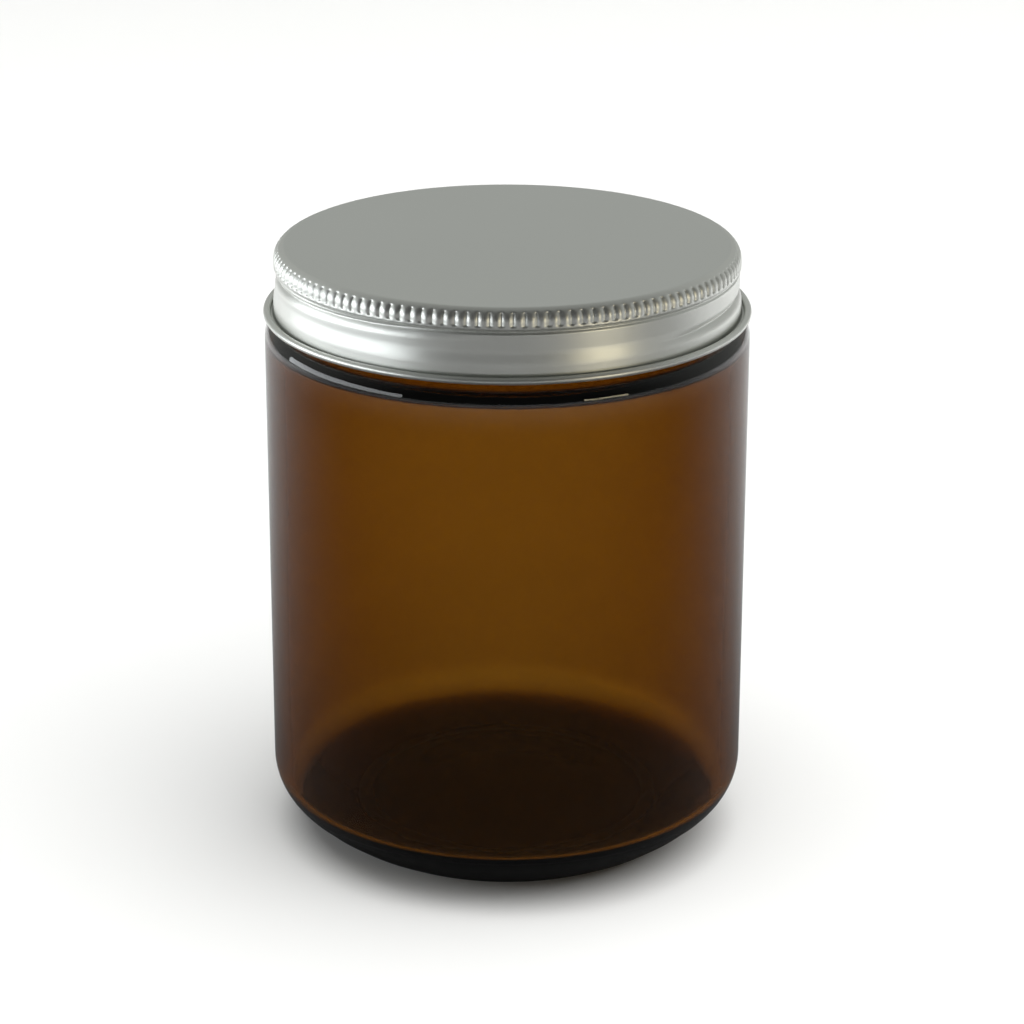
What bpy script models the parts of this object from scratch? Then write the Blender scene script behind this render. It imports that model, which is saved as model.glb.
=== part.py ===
"""Straight-sided amber glass apothecary jar with a screw lid of pressed aluminium.

Three pieces, as on the bench: the moulded glass jar with its threaded neck, the thin lid with its
knurled grip, rolled thread and curled lower edge, and the foam liner that seals against the rim.
The jar stands on its base ring with the origin at the middle of the base, in metres, +Z up.
Lengths are metres and angles are degrees unless a name says otherwise.
"""

import math

import bmesh
import bpy

# Glass body.
BODY_RADIUS = 0.0365
WALL_THICKNESS = 0.0028
SHOULDER_RADIUS = 0.0032
SHOULDER_TOP = 0.0835
INNER_HEEL_RADIUS = 0.0030
FLOOR_HEIGHT = 0.0080

# Inside of the shoulder: an arc out of the bore, a shallow cone, then a small corner onto the wall.
INNER_NECK_RADIUS = 0.0020
INNER_CONE_TURN = 64.0
INNER_CORNER_RADIUS = 0.0009
INNER_CORNER_HEIGHT = 0.0790

# Base: the wall turns into a small heel arc, then a wide toe arc that runs down to the bearing ring.
HEEL_TOP = 0.0124
HEEL_RADIUS = 0.0084
HEEL_TURN = 45.5
TOE_RADIUS = 0.0280
TOE_END = 69.0
BASE_RING_RADIUS = 0.0234
BASE_RING_WIDTH = 0.0022
PUSH_UP_HEIGHT = 0.0010
PUSH_UP_SLOPE = 0.0110
PUSH_UP_ROWS = 5

# Glass neck.
NECK_RADIUS = 0.03315
NECK_WALL = 0.0030
NECK_FILLET = 0.0004
RIM_HEIGHT = 0.0923
RIM_ROUNDING = 0.0008

# Screw thread, right-handed, six turns to the inch, shared by neck and lid.
PITCH = 0.0254 / 6
THREAD_HALF_WIDTH = 0.00118
THREAD_RUNOUT_TURNS = 0.08
THREAD_PLAY_BELOW = 0.00155
NECK_THREAD_DEPTH = 0.00105
NECK_THREAD_START = 0.0861
NECK_THREAD_TURNS = 0.95
NECK_THREAD_ROWS = 11

# Lid of pressed sheet, with heights measured up from its own lower edge.
LID_REST_HEIGHT = 0.0836
LID_HEIGHT = 0.0106
SHEET = 0.0003
LID_RADIUS = 0.0350
TOP_EDGE_RADIUS = 0.0020
KNURL_TOP = 0.01020
KNURL_BOTTOM = 0.00796
KNURL_END = 0.00030
KNURL_DEPTH = 0.00030
KNURL_RIBS = 132
KNURL_ROWS = 5
BEAD_BOTTOM = 0.00775
UNDERCUT_HEIGHT = 0.00728
UNDERCUT_HALF_WIDTH = 0.00042
UNDERCUT_DEPTH = 0.00022
SKIRT_RADIUS = 0.0348
SKIRT_FOOT = 0.0010
SKIRT_MAIN_ROWS = 11
FLARE_RADIUS = 0.0351
FLARE_TOP = 0.0047
FLARE_BOTTOM = 0.0021
LID_THREAD_DEPTH = 0.00055
LID_THREAD_UPPER = 0.0010
LID_THREAD_LOWER = 0.0014
LID_THREAD_START = 0.0034
LID_THREAD_ANGLE = -55.0
LID_THREAD_TURNS = 0.90
CURL_OUTER_RADIUS = 0.0367
CURL_ROLL_WIDTH = 0.00112
CURL_ROLL_HEIGHT = 0.00106
CURL_SWEEP_RADIUS = 0.00045
CURL_END_ANGLE = 160.0

# Foam liner, with the clearances that keep pieces from touching.
LINER_RADIUS = 0.0334
LINER_THICKNESS = 0.0010
LINER_BEVEL = 0.00015
CONTACT_GAP = 0.0003

# Points around each turned shape. A knurl rib takes two columns.
JAR_COLUMNS = 64
LID_COLUMNS = 66
KNURL_COLUMNS = 2 * KNURL_RIBS
ARC_STEP = 18.0
SMOOTH_ANGLE = 32.0


def clear_scene():
    for thing in list(bpy.data.objects):
        bpy.data.objects.remove(thing)


def principled(name, colour, roughness, metallic=0.0, transmission=0.0):
    """A plain Principled material in the piece's own colour."""
    made = bpy.data.materials.new(name)
    made.use_nodes = True
    shader = made.node_tree.nodes["Principled BSDF"]
    shader.inputs["Base Color"].default_value = (*colour, 1.0)
    shader.inputs["Roughness"].default_value = roughness
    shader.inputs["Metallic"].default_value = metallic
    shader.inputs["Transmission Weight"].default_value = transmission
    made.diffuse_color = (*colour, 1.0)
    return made


def arc(radius_at, height_at, size, start, end):
    """Points (radius, height) on an arc about one centre, from a start to an end angle."""
    steps = max(2, round(abs(end - start) / ARC_STEP))
    angles = [math.radians(start + (end - start) * step / steps) for step in range(steps + 1)]
    return [(radius_at + size * math.cos(turn), height_at + size * math.sin(turn)) for turn in angles]


def spaced(first, last, count):
    """Evenly spaced values, both ends included."""
    return [first + (last - first) * step / (count - 1) for step in range(count)]


def smooth_step(value):
    value = min(max(value, 0.0), 1.0)
    return value * value * (3.0 - 2.0 * value)


def neck_thread_section(angle, height, start_angle):
    """How far up the thread's rounded section a place is: 0 beside the thread, 1 on its crest."""
    most = 0.0
    first_turn = (angle - start_angle) / (2 * math.pi) % 1.0
    for turn in (first_turn, first_turn + 1.0):
        off_centre = min(abs(height - NECK_THREAD_START - turn * PITCH) / THREAD_HALF_WIDTH, 1.0)
        ramp = smooth_step(min(turn, NECK_THREAD_TURNS - turn) / THREAD_RUNOUT_TURNS)
        most = max(most, ramp * math.cos(off_centre * math.pi / 2) ** 2)
    return most


def add_ring(shape, columns, radius, height):
    """One closed ring of points. The radius is a number, or a function of the angle."""
    points = []
    for column in range(columns):
        angle = 2 * math.pi * column / columns
        reach = radius(angle) if callable(radius) else radius
        points.append(shape.verts.new((reach * math.cos(angle), reach * math.sin(angle), height)))
    return points


def fill_centre(shape, ring, height, closes_top):
    """Closes a shape on the axis with a fan of triangles."""
    centre = shape.verts.new((0.0, 0.0, height))
    for here, after in zip(ring, ring[1:] + ring[:1]):
        shape.faces.new((here, after, centre) if closes_top else (centre, after, here))


def stitch(shape, first, second):
    """Joins two rings with faces. One ring may have several times the points of the other."""
    fine_first = len(first) >= len(second)
    fine, coarse = (first, second) if fine_first else (second, first)
    ratio = len(fine) // len(coarse)
    for index, corner in enumerate(coarse):
        after = coarse[(index + 1) % len(coarse)]
        run = [fine[(index * ratio + step) % len(fine)] for step in range(ratio + 1)]
        faces = [(low, high, corner) for low, high in zip(run[:-1], run[1:])]
        faces.append((run[-1], after, corner))
        if ratio == 1:
            faces = [(run[0], run[1], after, corner)]
        for face in faces:
            shape.faces.new(face if fine_first else face[::-1])


def turned(name, rows, material, start_height, end_height):
    """A closed turned shape from rows of (columns, radius, height).

    The rows run from the axis underneath, out and up the outer side, and back in to the axis.
    """
    shape = bmesh.new()
    rings = [add_ring(shape, *row) for row in rows]
    fill_centre(shape, rings[0], start_height, closes_top=False)
    for first, second in zip(rings, rings[1:]):
        stitch(shape, first, second)
    fill_centre(shape, rings[-1], end_height, closes_top=True)
    mesh = bpy.data.meshes.new(name)
    shape.to_mesh(mesh)
    shape.free()
    mesh.shade_smooth()
    mesh.set_sharp_from_angle(angle=math.radians(SMOOTH_ANGLE))
    mesh.materials.append(material)
    piece = bpy.data.objects.new(name, mesh)
    bpy.context.scene.collection.objects.link(piece)
    return piece


def neck_thread_angle():
    """Where the neck's thread starts, so that the closed lid's rolled thread sits just under it."""
    rise = NECK_THREAD_START - (LID_REST_HEIGHT + LID_THREAD_START) - THREAD_PLAY_BELOW
    return math.radians(LID_THREAD_ANGLE) + 2 * math.pi * rise / PITCH


def neck_thread_rows():
    low = NECK_THREAD_START - THREAD_HALF_WIDTH
    high = NECK_THREAD_START + NECK_THREAD_TURNS * PITCH + THREAD_HALF_WIDTH
    start_angle = neck_thread_angle()

    def reach(height):
        def radius(angle):
            return NECK_RADIUS + NECK_THREAD_DEPTH * neck_thread_section(angle, height, start_angle)

        return radius

    return [(reach(height), height) for height in spaced(low, high, NECK_THREAD_ROWS)]


def heel_profile():
    """From the bearing ring up to the straight wall: the toe arc, then the tighter heel arc tangent to it."""
    heel_centre = BODY_RADIUS - HEEL_RADIUS
    turn = math.radians(HEEL_TURN)
    excess = TOE_RADIUS - HEEL_RADIUS
    toe_centre = heel_centre - excess * math.cos(turn)
    toe_height = HEEL_TOP + excess * math.sin(turn)
    toe = arc(toe_centre, toe_height, TOE_RADIUS, -TOE_END, -HEEL_TURN)
    return toe + arc(heel_centre, HEEL_TOP, HEEL_RADIUS, -HEEL_TURN, 0)[1:]


def push_up_profile():
    """The underside from the edge of its raised middle, sloping smoothly down to the bearing ring."""
    ring_inner = BASE_RING_RADIUS - BASE_RING_WIDTH
    outline = []
    for share in spaced(1.0, 0.0, PUSH_UP_ROWS):
        outline.append((ring_inner - PUSH_UP_SLOPE * share, PUSH_UP_HEIGHT * smooth_step(share)))
    return outline + [(BASE_RING_RADIUS, 0.0)]


def inner_shoulder_profile(bore, wall_inside):
    """From the bore down to the wall inside: an arc, a cone and a small corner arc, tangent to each other."""
    cone = math.radians(INNER_CONE_TURN)
    both_radii = INNER_NECK_RADIUS + INNER_CORNER_RADIUS
    neck_centre = bore + INNER_NECK_RADIUS
    corner_centre = wall_inside - INNER_CORNER_RADIUS
    cone_width = corner_centre - neck_centre + both_radii * math.cos(cone)
    neck_arc_height = INNER_CORNER_HEIGHT + both_radii * math.sin(cone) + cone_width / math.tan(cone)
    upper = arc(neck_centre, neck_arc_height, INNER_NECK_RADIUS, 180, 180 + INNER_CONE_TURN)
    return upper + arc(corner_centre, INNER_CORNER_HEIGHT, INNER_CORNER_RADIUS, INNER_CONE_TURN, 0)


def jar_profile():
    """The jar's outline from the middle of its underside, up the outside and down the inside."""
    shoulder_centre = BODY_RADIUS - SHOULDER_RADIUS
    wall_inside = BODY_RADIUS - WALL_THICKNESS
    bore = NECK_RADIUS - NECK_WALL
    rim_centre = RIM_HEIGHT - RIM_ROUNDING
    inner_heel_centre = wall_inside - INNER_HEEL_RADIUS
    outline = push_up_profile() + heel_profile()
    outline += arc(shoulder_centre, SHOULDER_TOP - SHOULDER_RADIUS, SHOULDER_RADIUS, 0, 85)
    outline += [(NECK_RADIUS, SHOULDER_TOP + NECK_FILLET)]
    outline += neck_thread_rows()
    outline += arc(NECK_RADIUS - RIM_ROUNDING, rim_centre, RIM_ROUNDING, 0, 90)
    outline += arc(bore + RIM_ROUNDING, rim_centre, RIM_ROUNDING, 90, 180)
    outline += inner_shoulder_profile(bore, wall_inside)
    outline += arc(inner_heel_centre, FLOOR_HEIGHT + INNER_HEEL_RADIUS, INNER_HEEL_RADIUS, 0, -90)
    return outline


def make_glass_jar():
    glass = principled("amber_glass", (0.21, 0.065, 0.006), roughness=0.04, transmission=1.0)
    rows = [(JAR_COLUMNS, radius, height) for radius, height in jar_profile()]
    return turned("glass_jar", rows, glass, PUSH_UP_HEIGHT, FLOOR_HEIGHT)


def side_radius(height):
    """The lid's outer radius up its side: a flared foot, the skirt, a narrow undercut and the bead."""
    flare = smooth_step((FLARE_TOP - height) / (FLARE_TOP - FLARE_BOTTOM))
    bead = smooth_step((height - UNDERCUT_HEIGHT) / (BEAD_BOTTOM - UNDERCUT_HEIGHT))
    off_centre = min(abs(height - UNDERCUT_HEIGHT) / UNDERCUT_HALF_WIDTH, 1.0)
    notch = UNDERCUT_DEPTH * math.cos(off_centre * math.pi / 2) ** 2
    return SKIRT_RADIUS + (FLARE_RADIUS - SKIRT_RADIUS) * flare + (LID_RADIUS - SKIRT_RADIUS) * bead - notch


def edge_radius(height):
    """The lid's outer radius over the bead: straight up, then round the rounded edge of the top."""
    over = max(height - (LID_HEIGHT - TOP_EDGE_RADIUS), 0.0) / TOP_EDGE_RADIUS
    return LID_RADIUS - TOP_EDGE_RADIUS * (1 - math.sqrt(1 - over * over))


def rolled_groove(angle, height):
    """How deep the rolled thread lies at a place, 0 to 1. It bulges down to a crease and slopes out again."""
    most = 0.0
    first_turn = (angle - math.radians(LID_THREAD_ANGLE)) / (2 * math.pi) % 1.0
    for turn in (first_turn, first_turn + 1.0):
        above = height - LID_THREAD_START - turn * PITCH
        reach = above / LID_THREAD_UPPER if above > 0 else -above / LID_THREAD_LOWER
        ramp = smooth_step(min(turn, LID_THREAD_TURNS - turn) / THREAD_RUNOUT_TURNS)
        most = max(most, ramp * (1.0 - min(reach, 1.0)) ** 2)
    return most


def skirt_rows(thickness, downwards):
    """The skirt with its rolled thread, which presses the sheet inwards. It fades out under the bead."""
    def reach(height):
        outer = side_radius(height)
        fade = smooth_step((BEAD_BOTTOM - height) / UNDERCUT_HALF_WIDTH)

        def radius(angle):
            return outer - thickness - LID_THREAD_DEPTH * fade * rolled_groove(angle, height)

        return radius

    heights = spaced(SKIRT_FOOT, UNDERCUT_HEIGHT - UNDERCUT_HALF_WIDTH, SKIRT_MAIN_ROWS)
    heights += [UNDERCUT_HEIGHT, BEAD_BOTTOM]
    if downwards:
        heights.reverse()
    return [(LID_COLUMNS, reach(height), height) for height in heights]


def oval_arc(radius_at, height_at, half_width, half_height, start, end):
    """Points (radius, height) on an arc of an oval."""
    unit = arc(0.0, 0.0, 1.0, start, end)
    return [(radius_at + half_width * across, height_at + half_height * up) for across, up in unit]


def curl_rows(inner_side):
    """The skirt's foot, swept outwards and rolled up into a small open curl."""
    offset = SHEET / 2 if inner_side else -SHEET / 2
    half_width = (CURL_ROLL_WIDTH - SHEET) / 2 + offset
    half_height = (CURL_ROLL_HEIGHT - SHEET) / 2 + offset
    roll_centre = CURL_OUTER_RADIUS - CURL_ROLL_WIDTH / 2
    sweep_centre = FLARE_RADIUS - SHEET / 2 + CURL_SWEEP_RADIUS
    sweep_height = SHEET / 2 + CURL_SWEEP_RADIUS
    outline = arc(sweep_centre, sweep_height, CURL_SWEEP_RADIUS + offset, 180, 262)
    outline += oval_arc(roll_centre, CURL_ROLL_HEIGHT / 2, half_width, half_height, -90, CURL_END_ANGLE)
    if not inner_side:
        outline.reverse()
    return [(LID_COLUMNS, radius, height) for radius, height in outline]


def ribbed(radius):
    """A knurled ring's radius: every second point is pressed in."""
    def reach(angle):
        column = round(angle / (2 * math.pi) * KNURL_COLUMNS)
        return radius - KNURL_DEPTH * (column % 2)

    return reach


def grip_rows():
    """The knurled band, which reaches up into the rounded edge of the top, and the rest of that edge."""
    rows = [(LID_COLUMNS, LID_RADIUS, KNURL_BOTTOM)]
    for height in spaced(KNURL_BOTTOM + KNURL_END, KNURL_TOP - KNURL_END, KNURL_ROWS):
        rows.append((KNURL_COLUMNS, ribbed(edge_radius(height)), height))
    edge_height = LID_HEIGHT - TOP_EDGE_RADIUS
    edge_start = math.degrees(math.asin((KNURL_TOP - edge_height) / TOP_EDGE_RADIUS))
    edge = arc(LID_RADIUS - TOP_EDGE_RADIUS, edge_height, TOP_EDGE_RADIUS, edge_start, 90)
    return rows + [(LID_COLUMNS, radius, height) for radius, height in edge]


def make_lid_shell():
    aluminium = principled("satin_aluminium", (0.62, 0.64, 0.62), roughness=0.28, metallic=1.0)
    inside = LID_RADIUS - SHEET - KNURL_DEPTH
    inside_top = LID_HEIGHT - SHEET
    inner_edge = TOP_EDGE_RADIUS - SHEET
    edge = arc(inside - inner_edge, inside_top - inner_edge, inner_edge, 90, 0)
    rows = [(LID_COLUMNS, radius, height) for radius, height in edge]
    rows += [(LID_COLUMNS, inside, KNURL_BOTTOM)]
    rows += skirt_rows(SHEET, downwards=True)
    rows += curl_rows(inner_side=True)
    rows += curl_rows(inner_side=False)
    rows += skirt_rows(0.0, downwards=False)
    rows += grip_rows()
    return turned("lid_shell", rows, aluminium, inside_top, LID_HEIGHT)


def make_liner():
    foam = principled("white_foam", (0.80, 0.80, 0.77), roughness=0.75)
    top = LID_HEIGHT - SHEET - CONTACT_GAP
    bottom = top - LINER_THICKNESS
    edge = LINER_RADIUS - LINER_BEVEL
    outline = [
        (edge, bottom),
        (LINER_RADIUS, bottom + LINER_BEVEL),
        (LINER_RADIUS, top - LINER_BEVEL),
        (edge, top),
    ]
    rows = [(LID_COLUMNS, radius, height) for radius, height in outline]
    return turned("liner", rows, foam, bottom, top)


def make_lid_axis(pieces):
    """An empty on the screw axis at the closed lid's lower edge, which carries the lid and its liner."""
    axis = bpy.data.objects.new("lid_axis", None)
    axis.location = (0.0, 0.0, LID_REST_HEIGHT)
    bpy.context.scene.collection.objects.link(axis)
    for piece in pieces:
        piece.parent = axis


clear_scene()
make_glass_jar()
make_lid_axis([make_lid_shell(), make_liner()])
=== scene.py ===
"""Looks of the amber apothecary jar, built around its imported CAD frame. Metres, +Z up, front towards -Y.

The three CAD solids are rebuilt here as fine turned shapes: the moulded glass, the pressed lid with its
knurled band, rolled thread and curl, and the foam liner. Each keeps its CAD node's place and size.
"""

import math

import bpy
import numpy as np
from mathutils import Matrix, Vector


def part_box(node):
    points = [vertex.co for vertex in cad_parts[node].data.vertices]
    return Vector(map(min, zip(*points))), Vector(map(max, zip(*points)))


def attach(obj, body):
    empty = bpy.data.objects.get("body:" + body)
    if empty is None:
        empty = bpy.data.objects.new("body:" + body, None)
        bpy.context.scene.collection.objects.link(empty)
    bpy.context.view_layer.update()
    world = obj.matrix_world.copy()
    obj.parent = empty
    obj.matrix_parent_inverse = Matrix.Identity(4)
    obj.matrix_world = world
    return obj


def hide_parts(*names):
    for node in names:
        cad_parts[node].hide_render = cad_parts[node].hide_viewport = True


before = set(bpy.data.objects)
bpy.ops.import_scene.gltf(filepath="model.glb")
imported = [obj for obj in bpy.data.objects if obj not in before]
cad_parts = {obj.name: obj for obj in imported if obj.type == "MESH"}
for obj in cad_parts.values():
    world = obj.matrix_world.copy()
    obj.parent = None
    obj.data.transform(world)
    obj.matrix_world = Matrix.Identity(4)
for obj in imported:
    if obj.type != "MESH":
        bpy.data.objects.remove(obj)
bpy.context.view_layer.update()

JAR_LOW, JAR_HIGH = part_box("glass_jar")
LID_LOW, LID_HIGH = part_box("lid_shell")
LINER_LOW, LINER_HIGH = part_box("liner")

# Glass body, shoulder and inside. Radii are measured from the screw axis.
BODY_RADIUS = JAR_HIGH.x
WALL_THICKNESS = 0.0028
SHOULDER_RADIUS = 0.0032
SHOULDER_TOP = 0.0835
SHOULDER_TURN = 86.0
INNER_HEEL_RADIUS = 0.0030
INNER_CORNER_RADIUS = 0.0009
INNER_CORNER_HEIGHT = 0.0790
INNER_CONE_TURN = 64.0
INNER_NECK_RADIUS = 0.0020
FLOOR_HEIGHT = 0.0080
FLOOR_CROWN = 0.0003
WALL_DRIFT = 0.00005
WALL_DRIFT_FADE_SHARES = 6
# Each wave of the drift: how many go round, its phase, its phase per metre up, and its share.
WALL_DRIFT_WAVES = ((2, 0.9, 0.0, 1.0), (3, -1.7, 40.0, 0.6), (5, 0.4, -70.0, 0.4))

# Base: the wall turns into a small heel arc, then a wide toe arc that runs down to the bearing ring.
HEEL_TOP = 0.0124
HEEL_RADIUS = 0.0084
HEEL_TURN = 45.5
TOE_RADIUS = 0.0280
TOE_END = 69.0
BASE_RING_RADIUS = 0.0234
BASE_RING_WIDTH = 0.0022
PUSH_UP_HEIGHT = 0.0010
PUSH_UP_SLOPE = 0.0110

# Neck and rim.
NECK_RADIUS = 0.03315
NECK_WALL = 0.0030
NECK_FILLET = 0.0005
RIM_HEIGHT = JAR_HIGH.z
RIM_ROUNDING = 0.0008

# Screw thread, right-handed, shared by the neck and the lid.
PITCH = 0.0254 / 6
THREAD_HALF_WIDTH = 0.00118
THREAD_RUNOUT_TURNS = 0.08
THREAD_PLAY_BELOW = 0.00155
NECK_THREAD_DEPTH = 0.00105
NECK_THREAD_START = 0.0861
NECK_THREAD_TURNS = 0.95

# Lid, with heights measured up from its lower edge.
LID_BASE = LID_LOW.z
LID_HEIGHT = LID_HIGH.z - LID_LOW.z
SHEET = 0.0003
LID_RADIUS = 0.0350
TOP_EDGE_RADIUS = 0.0020
BEAD_BOTTOM = 0.00775
UNDERCUT_HEIGHT = 0.00728
UNDERCUT_DEPTH = 0.00022
UNDERCUT_HALF_WIDTH = 0.00042
SKIRT_RADIUS = 0.0348
FLARE_RADIUS = 0.0351
FLARE_TOP = 0.0047
FLARE_BOTTOM = 0.0021
RIB_COUNT = 132
RIB_MIDDLE = 0.00908
RIB_HALF_LENGTH = 0.00112
RIB_END = 0.00030
RIB_DEPTH = 0.00030
TOP_BLEND_DEPTH = 0.00005
LID_THREAD_DEPTH = 0.00055
LID_THREAD_UPPER = 0.0010
LID_THREAD_LOWER = 0.0014
LID_THREAD_START = 0.0034
LID_THREAD_ANGLE = math.radians(-55.0)
LID_THREAD_TURNS = 0.90
SKIRT_FOOT = 0.0010
CURL_OUTER_RADIUS = min(LID_HIGH.x, LID_HIGH.y)
CURL_ROLL_WIDTH = 0.00112
CURL_ROLL_HEIGHT = 0.00106
CURL_SWEEP_RADIUS = 0.00045
CURL_SWEEP_END = 262.0
CURL_END_ANGLE = 160.0
LINER_BEVEL = 0.00015

# Mesh fineness.
GLASS_COLUMNS = 384
LID_COLUMNS = RIB_COUNT * 3
RIB_COLUMNS = RIB_COUNT * 12
PUSH_UP_ROWS = 13
OUTER_WALL_ROW_STEP = 0.004
INNER_WALL_ROW_STEP = 0.002
FLOOR_ROW_SHARES = (0.8, 0.6, 0.4, 0.2)
NECK_ROW_STEP = 0.00018
SKIRT_ROW_STEP = 0.00012
RIB_ROW_STEP = 0.0001
ARC_STEP = 6.0
ARC_LEAST_STEPS = 3


def arc(radius_at, height_at, size, start, end):
    """Points (radius, height) on an arc about one centre, from a start to an end angle."""
    steps = max(ARC_LEAST_STEPS, round(abs(end - start) / ARC_STEP))
    angles = [math.radians(start + (end - start) * step / steps) for step in range(steps + 1)]
    return [(radius_at + size * math.cos(turn), height_at + size * math.sin(turn)) for turn in angles]


def spaced(first, last, step):
    """Evenly spaced values about a step apart, both ends included."""
    count = max(2, round(abs(last - first) / step) + 1)
    return list(np.linspace(first, last, count))


def smooth_step(value):
    """A value between 0 and 1 with soft ends, held at 0 and 1 outside them."""
    value = np.clip(value, 0.0, 1.0)
    return value * value * (3.0 - 2.0 * value)


def placed(name, data):
    """A new object in the scene."""
    thing = bpy.data.objects.new(name, data)
    bpy.context.scene.collection.objects.link(thing)
    return thing


def ring_points(columns, radius, height):
    """One ring's points. The radius is a number, or a function of the angles."""
    angles = np.arange(columns) * (2 * math.pi / columns)
    reach = radius(angles) if callable(radius) else np.full(columns, radius)
    return np.column_stack([reach * np.cos(angles), reach * np.sin(angles), np.full(columns, height)])


def stitch(first, second):
    """Faces between two rings of point numbers. One ring may have several times the points of the other."""
    fine_first = len(first) >= len(second)
    fine, coarse = (first, second) if fine_first else (second, first)
    ratio = len(fine) // len(coarse)
    after = np.roll(coarse, -1)
    runs = [np.roll(fine, -step)[::ratio] for step in range(ratio + 1)]
    if ratio == 1:
        faces = [np.column_stack([runs[0], runs[1], after, coarse])]
    else:
        faces = [np.column_stack([low, high, coarse]) for low, high in zip(runs[:-1], runs[1:])]
        faces.append(np.column_stack([runs[-1], after, coarse]))
    faces = [face if fine_first else face[:, ::-1] for face in faces]
    return [tuple(face) for group in faces for face in group.tolist()]


def fan(ring, centre, closes_top):
    """Faces from a ring of point numbers to one centre point, facing up or down."""
    after = np.roll(ring, -1)
    middle = np.full(len(ring), centre)
    columns = (ring, after, middle) if closes_top else (middle, after, ring)
    return [tuple(face) for face in np.column_stack(columns).tolist()]


def turned(name, rows, start_height, end_height):
    """A closed turned mesh from rows of (columns, radius, height), which run from the axis underneath,
    out and up the outer side, and back in to the axis."""
    points = [np.array([[0.0, 0.0, start_height]])]
    rings = []
    count = 1
    for row in rows:
        points.append(ring_points(*row))
        rings.append(np.arange(count, count + row[0]))
        count += row[0]
    points.append(np.array([[0.0, 0.0, end_height]]))
    faces = fan(rings[0], 0, closes_top=False)
    for first, second in zip(rings, rings[1:]):
        faces += stitch(first, second)
    faces += fan(rings[-1], count, closes_top=True)
    mesh = bpy.data.meshes.new(name)
    mesh.from_pydata(np.concatenate(points).tolist(), [], faces)
    mesh.shade_smooth()
    return placed(name, mesh)


# ---------------------------------------------------------------- glass jar


def neck_thread_angle():
    """Where the neck's thread starts, so that the closed lid's rolled thread sits just under it."""
    rise = NECK_THREAD_START - (LID_BASE + LID_THREAD_START) - THREAD_PLAY_BELOW
    return LID_THREAD_ANGLE + 2 * math.pi * rise / PITCH


def neck_thread_section(angles, height, start_angle):
    """How far up the neck thread's rounded section a place is: 0 beside the thread, 1 on its crest."""
    most = np.zeros_like(angles)
    first_turn = (angles - start_angle) / (2 * math.pi) % 1.0
    for turn in (first_turn, first_turn + 1.0):
        off_centre = np.abs(height - NECK_THREAD_START - turn * PITCH) / THREAD_HALF_WIDTH
        ramp = smooth_step(np.minimum(turn, NECK_THREAD_TURNS - turn) / THREAD_RUNOUT_TURNS)
        section = np.cos(np.minimum(off_centre, 1.0) * math.pi / 2) ** 2
        most = np.maximum(most, ramp * section)
    return most


def neck_rows():
    """Up the outside of the neck, with its thread."""
    start_angle = neck_thread_angle()

    def reach(height):
        def radius(angles):
            return NECK_RADIUS + NECK_THREAD_DEPTH * neck_thread_section(angles, height, start_angle)

        return radius

    heights = spaced(SHOULDER_TOP + NECK_FILLET, RIM_HEIGHT - RIM_ROUNDING, NECK_ROW_STEP)
    return [(reach(height), height) for height in heights]


def uneven(radius, height, depth):
    """A moulded inner wall: the radius drifts a little around and up the wall."""
    def drift(angles):
        waves = np.zeros_like(angles)
        for around, phase, climb, share in WALL_DRIFT_WAVES:
            waves += share * np.sin(around * angles + phase + climb * height)
        return radius + depth * waves

    return drift


def heel_profile():
    """From the bearing ring up to the straight wall: the toe arc, then the tighter heel arc tangent to it."""
    heel_centre = BODY_RADIUS - HEEL_RADIUS
    turn = math.radians(HEEL_TURN)
    excess = TOE_RADIUS - HEEL_RADIUS
    toe_centre = heel_centre - excess * math.cos(turn)
    toe_height = HEEL_TOP + excess * math.sin(turn)
    toe = arc(toe_centre, toe_height, TOE_RADIUS, -TOE_END, -HEEL_TURN)
    return toe + arc(heel_centre, HEEL_TOP, HEEL_RADIUS, -HEEL_TURN, 0)[1:]


def push_up_profile():
    """The underside from the edge of its raised middle, sloping smoothly down to the bearing ring."""
    ring_inner = BASE_RING_RADIUS - BASE_RING_WIDTH
    outline = []
    for share in np.linspace(1.0, 0.0, PUSH_UP_ROWS):
        outline.append((ring_inner - PUSH_UP_SLOPE * share, PUSH_UP_HEIGHT * float(smooth_step(share))))
    return outline + [(BASE_RING_RADIUS, 0.0)]


def inner_shoulder_profile(bore, wall_inside):
    """From the bore down to the wall inside: an arc, a cone and a small corner arc, tangent to each other."""
    cone = math.radians(INNER_CONE_TURN)
    both_radii = INNER_NECK_RADIUS + INNER_CORNER_RADIUS
    neck_centre = bore + INNER_NECK_RADIUS
    corner_centre = wall_inside - INNER_CORNER_RADIUS
    cone_width = corner_centre - neck_centre + both_radii * math.cos(cone)
    neck_arc_height = INNER_CORNER_HEIGHT + both_radii * math.sin(cone) + cone_width / math.tan(cone)
    upper = arc(neck_centre, neck_arc_height, INNER_NECK_RADIUS, 180, 180 + INNER_CONE_TURN)
    return upper + arc(corner_centre, INNER_CORNER_HEIGHT, INNER_CORNER_RADIUS, INNER_CONE_TURN, 0)


def inner_wall_profile(wall_inside, low):
    """Down the inner wall. Its moulded drift fades out towards both ends."""
    outline = []
    fade = (INNER_CORNER_HEIGHT - low) / WALL_DRIFT_FADE_SHARES
    for height in spaced(INNER_CORNER_HEIGHT, low, INNER_WALL_ROW_STEP)[1:-1]:
        ends = min(height - low, INNER_CORNER_HEIGHT - height)
        depth = WALL_DRIFT * float(smooth_step(ends / fade))
        outline.append((uneven(wall_inside, height, depth), height))
    return outline


def floor_profile(floor_edge):
    """Over the floor inside, which rises slightly towards the middle."""
    outline = []
    for share in FLOOR_ROW_SHARES:
        crown = FLOOR_CROWN * float(smooth_step(1.0 - share))
        outline.append((floor_edge * share, FLOOR_HEIGHT + crown))
    return outline


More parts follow.
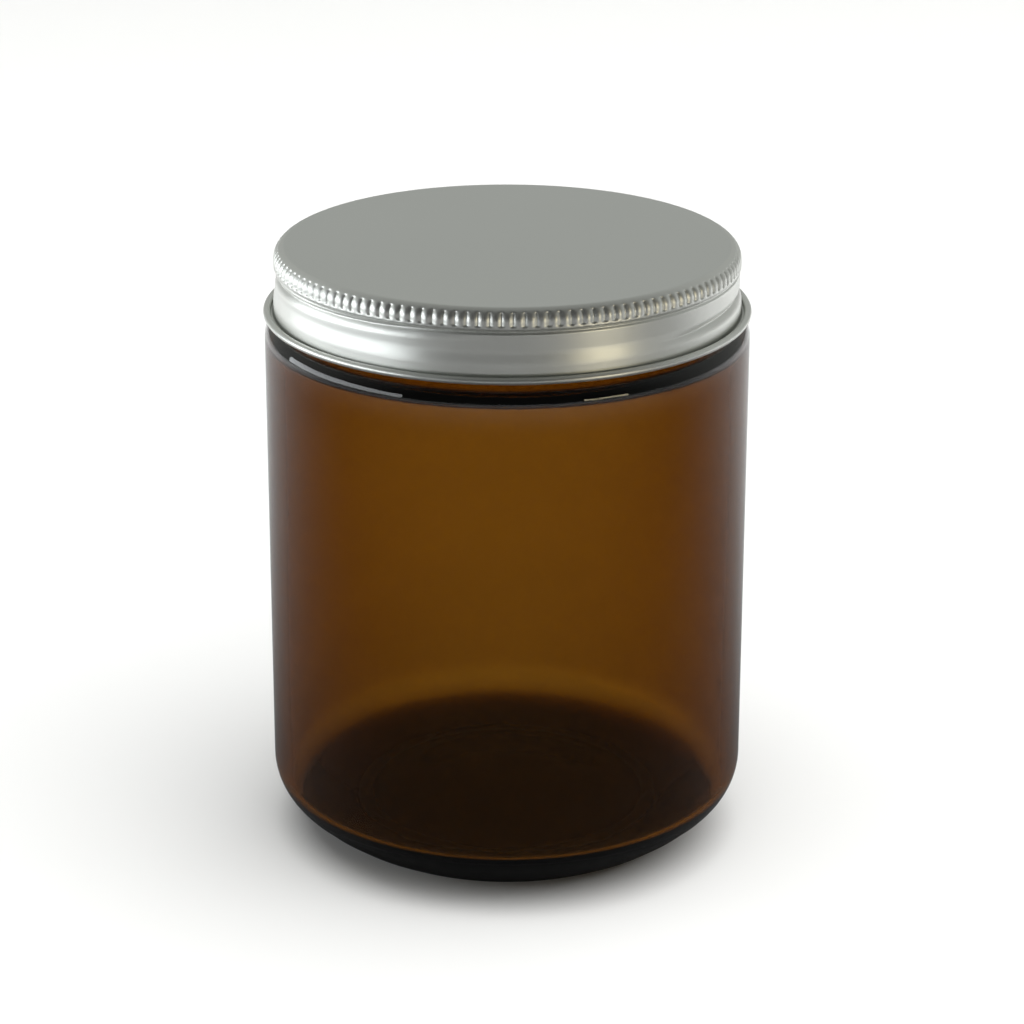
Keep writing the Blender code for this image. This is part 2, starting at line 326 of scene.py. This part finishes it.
def jar_profile():
    """The jar's outline from the middle of its underside, up the outside and down the inside."""
    shoulder_centre = BODY_RADIUS - SHOULDER_RADIUS
    shoulder_low = SHOULDER_TOP - SHOULDER_RADIUS
    wall_inside = BODY_RADIUS - WALL_THICKNESS
    bore = NECK_RADIUS - NECK_WALL
    rim_centre = RIM_HEIGHT - RIM_ROUNDING
    inner_heel_centre = wall_inside - INNER_HEEL_RADIUS
    inner_heel_top = FLOOR_HEIGHT + INNER_HEEL_RADIUS
    outline = push_up_profile() + heel_profile()
    outline += [(BODY_RADIUS, height) for height in spaced(HEEL_TOP, shoulder_low, OUTER_WALL_ROW_STEP)[1:-1]]
    outline += arc(shoulder_centre, shoulder_low, SHOULDER_RADIUS, 0, SHOULDER_TURN)
    outline += neck_rows()
    outline += arc(NECK_RADIUS - RIM_ROUNDING, rim_centre, RIM_ROUNDING, 0, 90)[1:]
    outline += arc(bore + RIM_ROUNDING, rim_centre, RIM_ROUNDING, 90, 180)
    outline += inner_shoulder_profile(bore, wall_inside)
    outline += inner_wall_profile(wall_inside, inner_heel_top)
    outline += arc(inner_heel_centre, inner_heel_top, INNER_HEEL_RADIUS, 0, -90)
    return outline + floor_profile(inner_heel_centre)


def make_glass_jar():
    rows = [(GLASS_COLUMNS, radius, height) for radius, height in jar_profile()]
    jar = turned("glass_jar_fine", rows, PUSH_UP_HEIGHT, FLOOR_HEIGHT + FLOOR_CROWN)
    jar.data.materials.append(amber_glass())
    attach(jar, "jar")
    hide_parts("glass_jar")


# ---------------------------------------------------------------- lid


def side_radius(height):
    """The lid's outer radius up its side: a flared foot, the skirt, a narrow undercut and the bead."""
    flare = float(smooth_step((FLARE_TOP - height) / (FLARE_TOP - FLARE_BOTTOM)))
    bead = float(smooth_step((height - UNDERCUT_HEIGHT) / (BEAD_BOTTOM - UNDERCUT_HEIGHT)))
    off_centre = min(abs(height - UNDERCUT_HEIGHT) / UNDERCUT_HALF_WIDTH, 1.0)
    notch = UNDERCUT_DEPTH * math.cos(off_centre * math.pi / 2) ** 2
    return SKIRT_RADIUS + (FLARE_RADIUS - SKIRT_RADIUS) * flare + (LID_RADIUS - SKIRT_RADIUS) * bead - notch


def rolled_groove(angles, height):
    """How deep the rolled thread lies at a place, 0 to 1. It bulges down to a crease and slopes out again."""
    most = np.zeros_like(angles)
    first_turn = (angles - LID_THREAD_ANGLE) / (2 * math.pi) % 1.0
    for turn in (first_turn, first_turn + 1.0):
        above = height - LID_THREAD_START - turn * PITCH
        reach = np.where(above > 0, above / LID_THREAD_UPPER, -above / LID_THREAD_LOWER)
        ramp = smooth_step(np.minimum(turn, LID_THREAD_TURNS - turn) / THREAD_RUNOUT_TURNS)
        most = np.maximum(most, ramp * (1.0 - np.minimum(reach, 1.0)) ** 2)
    return most


def skirt_rows(thickness, downwards):
    """The skirt with its rolled thread, which presses the sheet inwards. It fades out under the bead."""
    def reach(height):
        fade = float(smooth_step((BEAD_BOTTOM - height) / UNDERCUT_HALF_WIDTH))

        def radius(angles):
            return side_radius(height) - thickness - LID_THREAD_DEPTH * fade * rolled_groove(angles, height)

        return radius

    heights = spaced(SKIRT_FOOT, BEAD_BOTTOM, SKIRT_ROW_STEP)
    if downwards:
        heights.reverse()
    return [(LID_COLUMNS, reach(height), height) for height in heights]


def oval_arc(radius_at, height_at, half_width, half_height, start, end):
    """Points (radius, height) on an arc of an oval."""
    unit = arc(0.0, 0.0, 1.0, start, end)
    return [(radius_at + half_width * across, height_at + half_height * up) for across, up in unit]


def curl_rows(inner_side):
    """The skirt's foot, swept outwards and rolled up into a small open curl."""
    offset = SHEET / 2 if inner_side else -SHEET / 2
    skirt_middle = FLARE_RADIUS - SHEET / 2
    half_width = (CURL_ROLL_WIDTH - SHEET) / 2 + offset
    half_height = (CURL_ROLL_HEIGHT - SHEET) / 2 + offset
    roll_centre = CURL_OUTER_RADIUS - CURL_ROLL_WIDTH / 2
    sweep_centre = skirt_middle + CURL_SWEEP_RADIUS
    sweep_height = SHEET / 2 + CURL_SWEEP_RADIUS
    outline = arc(sweep_centre, sweep_height, CURL_SWEEP_RADIUS + offset, 180, CURL_SWEEP_END)
    outline += oval_arc(roll_centre, CURL_ROLL_HEIGHT / 2, half_width, half_height, -90, CURL_END_ANGLE)
    if not inner_side:
        outline.reverse()
    return [(LID_COLUMNS, radius, height) for radius, height in outline]


def ribbed(radius, height):
    """The knurled band's radius. Rounded ribs stand side by side, with a narrow valley between them."""
    ends = float(smooth_step((RIB_HALF_LENGTH - abs(height - RIB_MIDDLE)) / RIB_END))

    def reach(angles):
        across = np.abs((angles * RIB_COUNT / (2 * math.pi) + 0.5) % 1.0 - 0.5) * 2.0
        return radius - RIB_DEPTH * ends * across ** 2

    return reach


def grip_rows():
    """The knurled band, which reaches up into the rounded edge of the top, and that edge."""
    edge_height = LID_HEIGHT - TOP_EDGE_RADIUS
    band_top = RIB_MIDDLE + RIB_HALF_LENGTH
    rows = []
    for height in spaced(RIB_MIDDLE - RIB_HALF_LENGTH, band_top, RIB_ROW_STEP):
        over = max(height - edge_height, 0.0) / TOP_EDGE_RADIUS
        radius = LID_RADIUS - TOP_EDGE_RADIUS * (1 - math.sqrt(1 - over * over))
        rows.append((RIB_COLUMNS, ribbed(radius, height), height))
    start = math.degrees(math.asin((band_top - edge_height) / TOP_EDGE_RADIUS)) + ARC_STEP
    edge = arc(LID_RADIUS - TOP_EDGE_RADIUS, edge_height, TOP_EDGE_RADIUS, start, 90)
    return rows + [(LID_COLUMNS, radius, height) for radius, height in edge]


def make_lid_shell():
    inside = LID_RADIUS - SHEET - RIB_DEPTH
    inside_top = LID_HEIGHT - SHEET
    inner_edge = TOP_EDGE_RADIUS - SHEET
    edge = arc(inside - inner_edge, inside_top - inner_edge, inner_edge, 90, 0)
    rows = [(LID_COLUMNS, radius, height) for radius, height in edge]
    rows += [(LID_COLUMNS, inside, RIB_MIDDLE - RIB_HALF_LENGTH)]
    rows += skirt_rows(SHEET, downwards=True)
    rows += curl_rows(inner_side=True)
    rows += curl_rows(inner_side=False)
    rows += skirt_rows(0.0, downwards=False)
    rows += grip_rows()
    lifted = [(columns, radius, LID_BASE + height) for columns, radius, height in rows]
    lid = turned("lid_shell_fine", lifted, LID_BASE + inside_top, LID_BASE + LID_HEIGHT)
    lid.data.materials.append(rolled_aluminium())
    lid.data.materials.append(satin_aluminium())
    flat_top = LID_HIGH.z - TOP_BLEND_DEPTH
    for face in lid.data.polygons:
        face.material_index = int(face.center.z > flat_top)
    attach(lid, "lid")
    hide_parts("lid_shell")


# ---------------------------------------------------------------- liner


def make_liner():
    radius = min(LINER_HIGH.x, LINER_HIGH.y)
    edge = radius - LINER_BEVEL
    rows = [
        (LID_COLUMNS, edge, LINER_LOW.z),
        (LID_COLUMNS, radius, LINER_LOW.z + LINER_BEVEL),
        (LID_COLUMNS, radius, LINER_HIGH.z - LINER_BEVEL),
        (LID_COLUMNS, edge, LINER_HIGH.z),
    ]
    liner = turned("liner_fine", rows, LINER_LOW.z, LINER_HIGH.z)
    liner.data.materials.append(liner_foam())
    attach(liner, "liner")
    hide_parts("liner")


# ---------------------------------------------------------------- materials


def new_material(name):
    made = bpy.data.materials.new(name)
    made.use_nodes = True
    nodes = made.node_tree.nodes
    return made, nodes, made.node_tree.links, nodes["Principled BSDF"]


def add_noise(nodes, links, scale, detail, stretch=(1.0, 1.0, 1.0)):
    """Noise over the object's own coordinates, at a scale in cycles per metre."""
    place = nodes.new("ShaderNodeTexCoord")
    spread = nodes.new("ShaderNodeMapping")
    spread.inputs["Scale"].default_value = stretch
    noise = nodes.new("ShaderNodeTexNoise")
    noise.inputs["Scale"].default_value = scale
    noise.inputs["Detail"].default_value = detail
    links.new(place.outputs["Object"], spread.inputs["Vector"])
    links.new(spread.outputs["Vector"], noise.inputs["Vector"])
    return noise.outputs["Fac"]


def add_bump(nodes, links, height, strength, distance):
    bump = nodes.new("ShaderNodeBump")
    bump.inputs["Strength"].default_value = strength
    bump.inputs["Distance"].default_value = distance
    links.new(height, bump.inputs["Height"])
    return bump.outputs["Normal"]


def ranged(nodes, links, value, low, high):
    """A 0 to 1 value carried onto a range."""
    remap = nodes.new("ShaderNodeMapRange")
    remap.inputs["To Min"].default_value = low
    remap.inputs["To Max"].default_value = high
    links.new(value, remap.inputs["Value"])
    return remap.outputs["Result"]


def amber_glass():
    made, nodes, links, shader = new_material("amber_glass")
    shader.inputs["Base Color"].default_value = (1.0, 1.0, 1.0, 1.0)
    shader.inputs["Transmission Weight"].default_value = 1.0
    shader.inputs["IOR"].default_value = 1.52
    film = add_noise(nodes, links, scale=60.0, detail=3.0)
    links.new(ranged(nodes, links, film, low=0.0, high=0.03), shader.inputs["Roughness"])
    waves = add_noise(nodes, links, scale=45.0, detail=2.0, stretch=(1.0, 1.0, 0.35))
    links.new(add_bump(nodes, links, waves, strength=0.05, distance=0.0005), shader.inputs["Normal"])
    volume = nodes.new("ShaderNodeVolumeAbsorption")
    volume.inputs["Color"].default_value = (0.713, 0.572, 0.09, 1.0)
    volume.inputs["Density"].default_value = 1250.0
    links.new(volume.outputs["Volume"], nodes["Material Output"].inputs["Volume"])
    return made


def satin_aluminium():
    """The lid's flat top, as it came off the sheet: an even satin in every direction."""
    made, nodes, links, shader = new_material("satin_aluminium")
    shader.inputs["Base Color"].default_value = (0.80, 0.82, 0.79, 1.0)
    shader.inputs["Metallic"].default_value = 1.0
    patches = add_noise(nodes, links, scale=40.0, detail=1.0)
    links.new(ranged(nodes, links, patches, low=0.29, high=0.33), shader.inputs["Roughness"])
    grain = add_noise(nodes, links, scale=5000.0, detail=1.0)
    links.new(add_bump(nodes, links, grain, strength=0.04, distance=0.00002), shader.inputs["Normal"])
    return made


def rolled_aluminium():
    """The lid's drawn and rolled side: fine marks run round it, so that reflections stretch up and down."""
    made, nodes, links, shader = new_material("rolled_aluminium")
    shader.inputs["Base Color"].default_value = (0.84, 0.855, 0.82, 1.0)
    shader.inputs["Metallic"].default_value = 1.0
    shader.inputs["Anisotropic"].default_value = 0.55
    shader.inputs["Anisotropic Rotation"].default_value = 0.25
    around = nodes.new("ShaderNodeTangent")
    around.direction_type = "RADIAL"
    around.axis = "Z"
    links.new(around.outputs["Tangent"], shader.inputs["Tangent"])
    patches = add_noise(nodes, links, scale=160.0, detail=3.0, stretch=(1.0, 1.0, 3.0))
    links.new(ranged(nodes, links, patches, low=0.36, high=0.44), shader.inputs["Roughness"])
    marks = add_noise(nodes, links, scale=260.0, detail=3.0, stretch=(1.0, 1.0, 14.0))
    links.new(add_bump(nodes, links, marks, strength=0.08, distance=0.00005), shader.inputs["Normal"])
    return made


def liner_foam():
    made, nodes, links, shader = new_material("liner_foam")
    shader.inputs["Base Color"].default_value = (0.80, 0.80, 0.77, 1.0)
    shader.inputs["Roughness"].default_value = 0.6
    cells = add_noise(nodes, links, scale=2500.0, detail=3.0)
    links.new(add_bump(nodes, links, cells, strength=0.3, distance=0.0001), shader.inputs["Normal"])
    return made


# ---------------------------------------------------------------- studio

AIM_HEIGHT = 0.0469
CAMERA_DISTANCE = 0.5166
CAMERA_ELEVATION = math.radians(20.91)
CAMERA_PITCH = math.radians(20.47)
CAMERA_PAN = math.radians(0.09)
CAMERA_ROLL = math.radians(0.12)
CAMERA_LENS_MM = 117.7
CAMERA_NEAR = 0.01

SQUARE_CORNERS = ((-1, -1), (1, -1), (1, 1), (-1, 1))
FLOOR_HALF_SIZE = 3.0
CARD_HALF_SIZE = 1.2
CARD_LIFT = 0.0005

# Painted reflection: the shade of the card that only reflections see, nearest the jar and far from it, and
# what is added from in front to behind.
PAINTED_REFLECTION_FADE_OUTWARDS = (0.245, 0.36)
PAINTED_REFLECTION_SHADE = (0.045, 0.45)
PAINTED_REFLECTION_FADE_BACKWARDS = (-0.08, 0.26)
PAINTED_REFLECTION_SHADE_ADDED = (0.0, 0.5)

# The room's brightness, from in front to behind, and how much of it is left overhead.
ROOM_FADE_BACKWARDS = (-0.75, 0.5)
ROOM_STRENGTH = (0.05, 0.40)
ROOM_FADE_UPWARDS = (0.55, 0.85)
ROOM_OVERHEAD_SHARE = (1.0, 0.65)


def make_camera():
    data = bpy.data.cameras.new("camera")
    data.lens = CAMERA_LENS_MM
    data.clip_start = CAMERA_NEAR
    camera = placed("camera", data)
    level = math.cos(CAMERA_PITCH)
    ahead = Vector((math.sin(CAMERA_PAN) * level, math.cos(CAMERA_PAN) * level, -math.sin(CAMERA_PITCH)))
    side = Vector((math.cos(CAMERA_PAN), -math.sin(CAMERA_PAN), 0.0))
    side = Matrix.Rotation(-CAMERA_ROLL, 3, ahead) @ side
    above = side.cross(ahead)
    stand = Vector((0.0, -CAMERA_DISTANCE * math.cos(CAMERA_ELEVATION), AIM_HEIGHT))
    stand.z += CAMERA_DISTANCE * math.sin(CAMERA_ELEVATION)
    turn = Matrix((side, above, -ahead)).transposed()
    camera.matrix_world = Matrix.Translation(stand) @ turn.to_4x4()
    bpy.context.scene.camera = camera


def flat_square(name, half_size, height):
    """A level square about the screw axis."""
    mesh = bpy.data.meshes.new(name)
    corners = [(across * half_size, along * half_size, height) for across, along in SQUARE_CORNERS]
    mesh.from_pydata(corners, [], [(0, 1, 2, 3)])
    return placed(name, mesh)


def make_floor():
    floor = flat_square("floor", FLOOR_HALF_SIZE, 0.0)
    made, nodes, links, shader = new_material("pale_floor")
    shader.inputs["Base Color"].default_value = (0.86, 0.86, 0.85, 1.0)
    shader.inputs["Roughness"].default_value = 0.7
    floor.data.materials.append(made)


def add_softbox(name, place, aim, width, height, watts, colour):
    data = bpy.data.lights.new(name, "AREA")
    data.shape = "RECTANGLE"
    data.size = width
    data.size_y = height
    data.energy = watts
    data.color = colour
    light = placed(name, data)
    light.location = place
    light.rotation_euler = (Vector(aim) - Vector(place)).to_track_quat("-Z", "Y").to_euler()
    light.visible_camera = False
    return light


def smooth_range(nodes, links, value, source, target):
    """A value carried smoothly from one range onto another, and held at its ends."""
    remap = nodes.new("ShaderNodeMapRange")
    remap.interpolation_type = "SMOOTHSTEP"
    remap.inputs["From Min"].default_value, remap.inputs["From Max"].default_value = source
    remap.inputs["To Min"].default_value, remap.inputs["To Max"].default_value = target
    links.new(value, remap.inputs["Value"])
    return remap.outputs["Result"]


def joined(nodes, links, operation, first, second):
    step = nodes.new("ShaderNodeMath")
    step.operation = operation
    links.new(first, step.inputs[0])
    links.new(second, step.inputs[1])
    return step.outputs["Value"]


def make_painted_reflection_card():
    """A matt card lying round the jar, which only reflections see, so its shade is a painted reflection on
    the glass and lid. It is dark near the jar and in front, and fades to pale further out and behind."""
    painted_reflection_card = flat_square("painted_reflection_card", CARD_HALF_SIZE, CARD_LIFT)
    made, nodes, links, shader = new_material("painted_reflection_card")
    place = nodes.new("ShaderNodeTexCoord").outputs["Object"]
    axes = nodes.new("ShaderNodeSeparateXYZ")
    away = nodes.new("ShaderNodeVectorMath")
    away.operation = "LENGTH"
    links.new(place, axes.inputs["Vector"])
    links.new(place, away.inputs[0])
    # Painted reflection: this shade darkens the reflections near the jar and in front, and lightens them
    # further out and behind.
    outwards = smooth_range(nodes, links, away.outputs["Value"], PAINTED_REFLECTION_FADE_OUTWARDS, PAINTED_REFLECTION_SHADE)
    backwards = smooth_range(nodes, links, axes.outputs["Y"], PAINTED_REFLECTION_FADE_BACKWARDS, PAINTED_REFLECTION_SHADE_ADDED)
    shade = joined(nodes, links, "ADD", outwards, backwards)
    links.new(shade, shader.inputs["Base Color"])
    shader.inputs["Roughness"].default_value = 1.0
    shader.inputs["Specular IOR Level"].default_value = 0.0
    painted_reflection_card.data.materials.append(made)
    painted_reflection_card.visible_camera = False
    painted_reflection_card.visible_diffuse = False
    painted_reflection_card.visible_transmission = False
    painted_reflection_card.visible_shadow = False


def make_world():
    """A plain grey room, lighter behind the jar and darker overhead and in front."""
    world = bpy.data.worlds.new("studio")
    world.use_nodes = True
    nodes, links = world.node_tree.nodes, world.node_tree.links
    surround = nodes["Background"]
    place = nodes.new("ShaderNodeTexCoord")
    axes = nodes.new("ShaderNodeSeparateXYZ")
    links.new(place.outputs["Generated"], axes.inputs["Vector"])
    behind = smooth_range(nodes, links, axes.outputs["Y"], ROOM_FADE_BACKWARDS, ROOM_STRENGTH)
    overhead = smooth_range(nodes, links, axes.outputs["Z"], ROOM_FADE_UPWARDS, ROOM_OVERHEAD_SHARE)
    links.new(joined(nodes, links, "MULTIPLY", behind, overhead), surround.inputs["Strength"])
    surround.inputs["Color"].default_value = (0.98, 1.0, 0.96, 1.0)
    bpy.context.scene.world = world


def make_lights():
    """A long cool window at the left, a small warm lamp at the right, and a large soft ceiling."""
    add_softbox(
        "window", place=(-0.9, -0.1, 0.17), aim=(0.0, 0.0, 0.07),
        width=1.3, height=0.24, watts=3.8, colour=(0.93, 0.97, 1.0),
    )
    add_softbox(
        "warm_lamp", place=(0.50, -0.50, 0.12), aim=(0.0, 0.0, 0.08),
        width=0.26, height=0.08, watts=0.38, colour=(1.0, 0.88, 0.6),
    )
    ceiling = add_softbox(
        "ceiling", place=(0.35, -0.35, 1.6), aim=(0.0, 0.1, 0.0),
        width=2.6, height=2.6, watts=58.0, colour=(1.0, 1.0, 1.0),
    )
    ceiling.visible_glossy = False


def make_studio():
    make_world()
    make_painted_reflection_card()
    bpy.context.scene.view_settings.view_transform = "Standard"
    make_lights()


make_camera()
make_floor()
make_studio()
make_glass_jar()
make_lid_shell()
make_liner()
